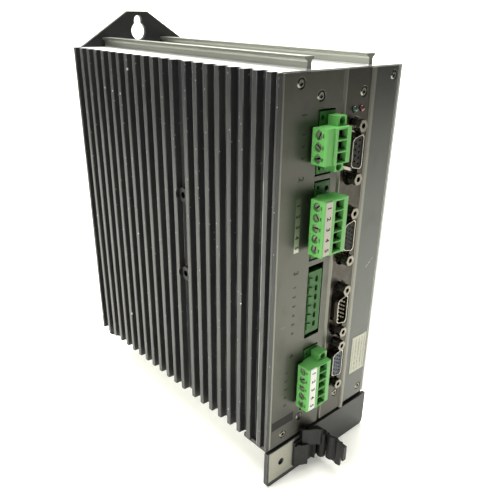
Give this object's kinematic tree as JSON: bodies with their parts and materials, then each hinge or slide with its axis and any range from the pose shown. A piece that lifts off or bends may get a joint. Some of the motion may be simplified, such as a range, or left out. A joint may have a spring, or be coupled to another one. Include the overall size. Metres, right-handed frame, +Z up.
{
  "type": "servo drive",
  "caption": "Book-size servo drive with a ribbed side heat sink, keyhole rear plate, pluggable screw terminals, D-sub ports and a hinged cable clamp.",
  "frame": {"origin": "on the rear mounting face, on the keyhole's vertical centre line, level with the housing's underside", "axes": "+Y out of the back towards the cabinet wall, +Z up, +X to the right as seen from the front"},
  "size_m": [0.084, 0.1964, 0.2354],
  "materials": {
    "black_anodised": "satin black anodised",
    "black_paint": "satin powder coat",
    "bare_aluminium": "mill finish",
    "grey_panel": "satin silver grey",
    "dark_steel": "blackened",
    "plated_steel": "nickel plated",
    "tinned_brass": "tinned",
    "green_plastic": "moulded",
    "black_plastic": "moulded",
    "blue_plastic": "moulded",
    "marker_white": "matt",
    "lamp_green": "clear tinted",
    "lamp_red": "clear tinted",
    "circuit_board": "lacquered"
  },
  "bodies": {
    "housing": {"heatsink": "black_anodised", "sink_screws": "dark_steel", "rear_plate": "black_paint", "top_cover": "bare_aluminium", "bottom_cover": "bare_aluminium", "side_cover": "bare_aluminium", "power_panel": "grey_panel", "signal_panel": "grey_panel", "option_cover": "grey_panel", "panel_screws": "dark_steel", "led_green": "lamp_green", "led_red": "lamp_red", "rating_label": "marker_white", "x1_header": "green_plastic", "x2_header": "green_plastic", "x3_header": "green_plastic", "x4_header": "green_plastic", "header_pins": "tinned_brass", "dsub1_shell": "plated_steel", "dsub2_shell": "plated_steel", "dsub3_shell": "plated_steel", "dsub4_shell": "plated_steel", "dsub1_insert": "black_plastic", "dsub2_insert": "black_plastic", "dsub3_insert": "black_plastic", "dsub4_insert": "blue_plastic", "dsub3_pins": "tinned_brass", "dsub_jackscrews": "plated_steel", "earth_bracket": "black_paint", "bracket_screws": "dark_steel", "clamp_base": "black_plastic", "power_board": "circuit_board", "control_board": "circuit_board", "board_posts": "plated_steel", "power_module": "black_plastic", "dc_link_capacitors": "black_plastic"},
    "x1_plug": {"x1_plug": "green_plastic", "x1_wire_clamps": "plated_steel", "x1_flange_screws": "plated_steel"},
    "x2_plug": {"x2_plug": "green_plastic", "x2_wire_clamps": "plated_steel", "x2_marker": "marker_white"},
    "x4_plug": {"x4_plug": "green_plastic", "x4_wire_clamps": "plated_steel", "x4_flange_screws": "plated_steel", "x4_marker": "marker_white"},
    "clamp_arm": {"clamp_arm": "black_plastic"},
    "x1_screw_1": {"x1_screw_1": "plated_steel"},
    "x1_screw_2": {"x1_screw_2": "plated_steel"},
    "x1_screw_3": {"x1_screw_3": "plated_steel"},
    "x2_screw_1": {"x2_screw_1": "plated_steel"},
    "x2_screw_2": {"x2_screw_2": "plated_steel"},
    "x2_screw_3": {"x2_screw_3": "plated_steel"},
    "x2_screw_4": {"x2_screw_4": "plated_steel"},
    "x2_screw_5": {"x2_screw_5": "plated_steel"},
    "x4_screw_1": {"x4_screw_1": "plated_steel"},
    "x4_screw_2": {"x4_screw_2": "plated_steel"},
    "x4_screw_3": {"x4_screw_3": "plated_steel"},
    "x4_screw_4": {"x4_screw_4": "plated_steel"},
    "x4_screw_5": {"x4_screw_5": "plated_steel"}
  },
  "joints": [
    {"name": "x1_plug_slide", "type": "slide", "parent": "housing", "child": "x1_plug", "axis": [0, -1, 0], "range_m": [0, 0.02]},
    {"name": "x2_plug_slide", "type": "slide", "parent": "housing", "child": "x2_plug", "axis": [0, -1, 0], "range_m": [0, 0.02]},
    {"name": "x4_plug_slide", "type": "slide", "parent": "housing", "child": "x4_plug", "axis": [0, -1, 0], "range_m": [0, 0.02]},
    {"name": "x1_screw_1_turn", "type": "hinge", "parent": "x1_plug", "child": "x1_screw_1", "pos_m": [-0.0214, -0.1787, 0.16548], "axis": [-1, 0, 0], "continuous": true},
    {"name": "x1_screw_2_turn", "type": "hinge", "parent": "x1_plug", "child": "x1_screw_2", "pos_m": [-0.0214, -0.1787, 0.1604], "axis": [-1, 0, 0], "continuous": true},
    {"name": "x1_screw_3_turn", "type": "hinge", "parent": "x1_plug", "child": "x1_screw_3", "pos_m": [-0.0214, -0.1787, 0.15532], "axis": [-1, 0, 0], "continuous": true},
    {"name": "x2_screw_1_turn", "type": "hinge", "parent": "x2_plug", "child": "x2_screw_1", "pos_m": [-0.0214, -0.1803, 0.13401], "axis": [-1, 0, 0], "continuous": true},
    {"name": "x2_screw_2_turn", "type": "hinge", "parent": "x2_plug", "child": "x2_screw_2", "pos_m": [-0.0214, -0.1803, 0.12893], "axis": [-1, 0, 0], "continuous": true},
    {"name": "x2_screw_3_turn", "type": "hinge", "parent": "x2_plug", "child": "x2_screw_3", "pos_m": [-0.0214, -0.1803, 0.12385], "axis": [-1, 0, 0], "continuous": true},
    {"name": "x2_screw_4_turn", "type": "hinge", "parent": "x2_plug", "child": "x2_screw_4", "pos_m": [-0.0214, -0.1803, 0.11877], "axis": [-1, 0, 0], "continuous": true},
    {"name": "x2_screw_5_turn", "type": "hinge", "parent": "x2_plug", "child": "x2_screw_5", "pos_m": [-0.0214, -0.1803, 0.11369], "axis": [-1, 0, 0], "continuous": true},
    {"name": "x4_screw_1_turn", "type": "hinge", "parent": "x4_plug", "child": "x4_screw_1", "pos_m": [-0.0214, -0.1787, 0.04526], "axis": [-1, 0, 0], "continuous": true},
    {"name": "x4_screw_2_turn", "type": "hinge", "parent": "x4_plug", "child": "x4_screw_2", "pos_m": [-0.0214, -0.1787, 0.04018], "axis": [-1, 0, 0], "continuous": true},
    {"name": "x4_screw_3_turn", "type": "hinge", "parent": "x4_plug", "child": "x4_screw_3", "pos_m": [-0.0214, -0.1787, 0.0351], "axis": [-1, 0, 0], "continuous": true},
    {"name": "x4_screw_4_turn", "type": "hinge", "parent": "x4_plug", "child": "x4_screw_4", "pos_m": [-0.0214, -0.1787, 0.03002], "axis": [-1, 0, 0], "continuous": true},
    {"name": "x4_screw_5_turn", "type": "hinge", "parent": "x4_plug", "child": "x4_screw_5", "pos_m": [-0.0214, -0.1787, 0.02494], "axis": [-1, 0, 0], "continuous": true},
    {"name": "clamp_hinge", "type": "hinge", "parent": "housing", "child": "clamp_arm", "pos_m": [-0.0052, -0.18, -0.012], "axis": [0, 0, 1], "range_deg": [-25, 45]}
  ]
}
